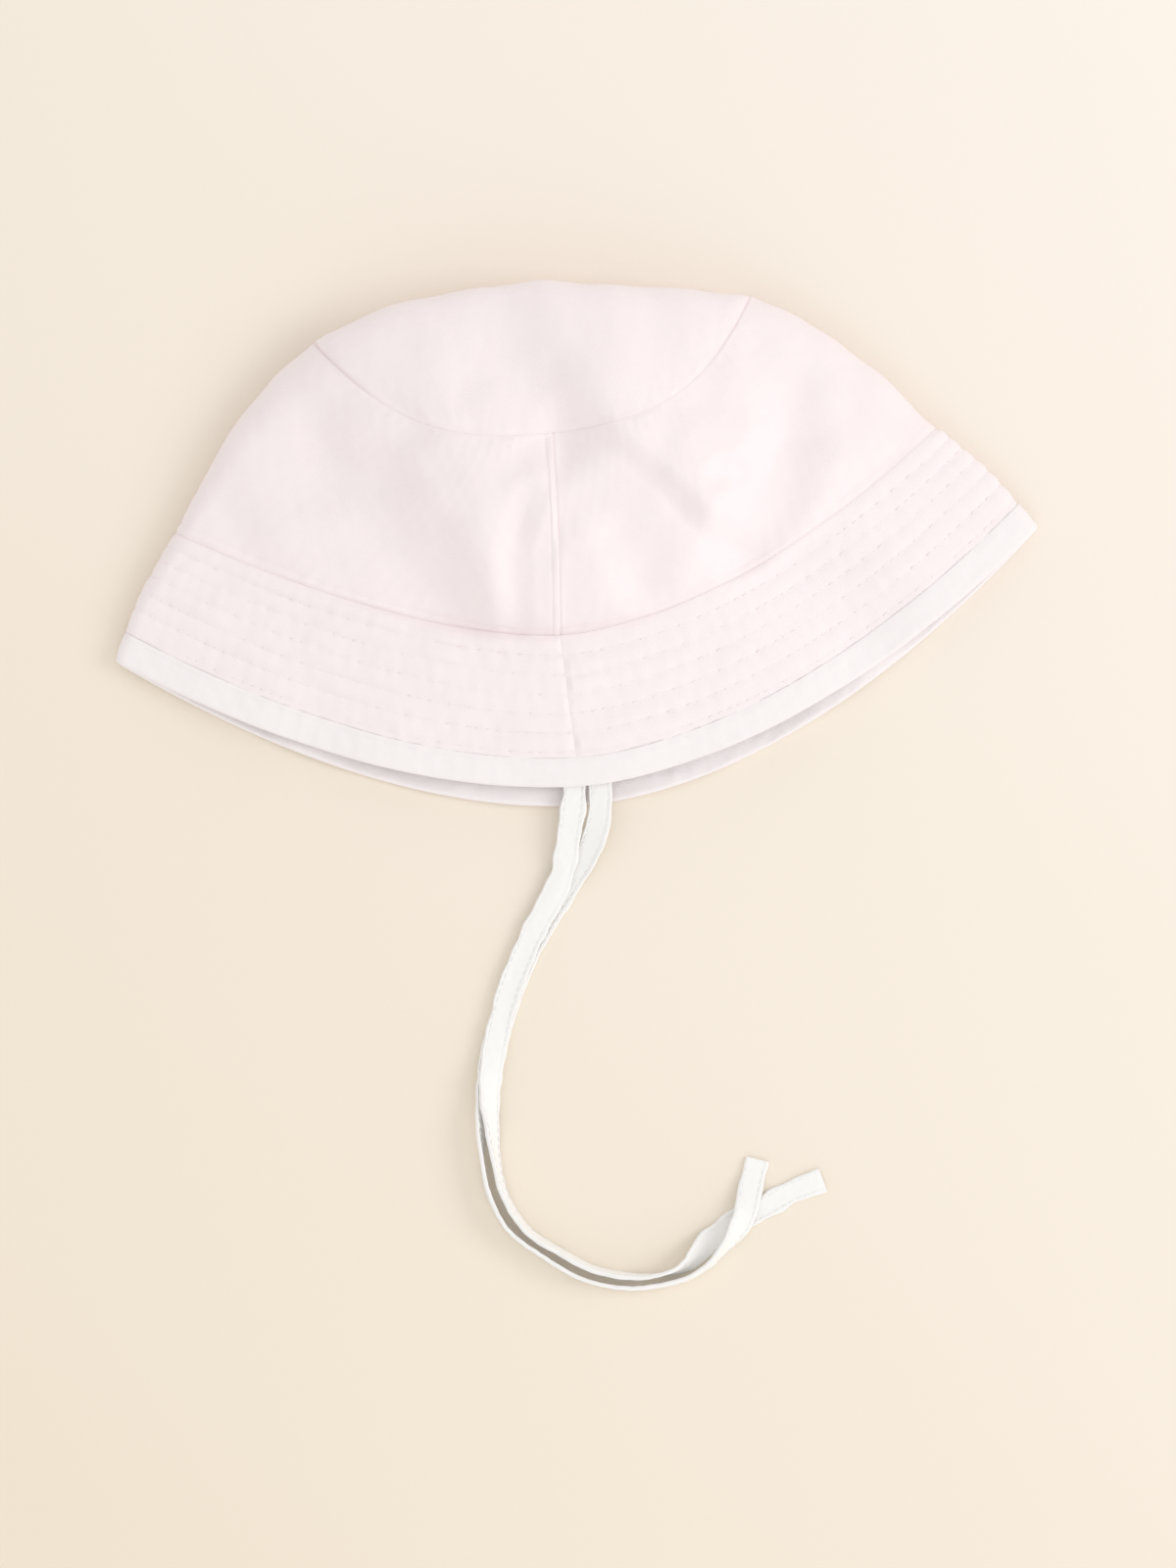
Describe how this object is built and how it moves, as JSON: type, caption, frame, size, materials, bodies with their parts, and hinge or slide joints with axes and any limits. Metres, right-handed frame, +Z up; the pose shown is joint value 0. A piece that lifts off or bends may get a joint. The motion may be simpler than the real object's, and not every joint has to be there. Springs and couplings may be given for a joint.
{
  "type": "baby sun hat with ties",
  "caption": "Soft cotton bucket hat for a baby, lying on its side: paneled crown with an oval top, stitched brim with a bound edge and two long tapes to tie under the chin.",
  "frame": {"origin": "on the surface that the hat lies on, under the middle of the box of the hat without its ties", "axes": "+X along the brim from the front fold to the back fold, +Y towards the top of the crown, +Z up from the surface"},
  "size_m": [0.2664, 0.2869, 0.0325],
  "materials": {
    "crown_cloth": "pale pink cotton twill, matt",
    "brim_cloth": "pale pink cotton twill, quilted by rows of stitches",
    "binding_cloth": "white cotton bias binding, matt",
    "tie_tape": "soft white cotton tape"
  },
  "bodies": {
    "root": {"crown_top": "crown_cloth", "crown_front": "crown_cloth", "crown_back": "crown_cloth", "brim_front": "brim_cloth", "brim_back": "brim_cloth", "brim_binding": "binding_cloth", "tie_left": "tie_tape", "tie_right": "tie_tape"}
  },
  "joints": []
}
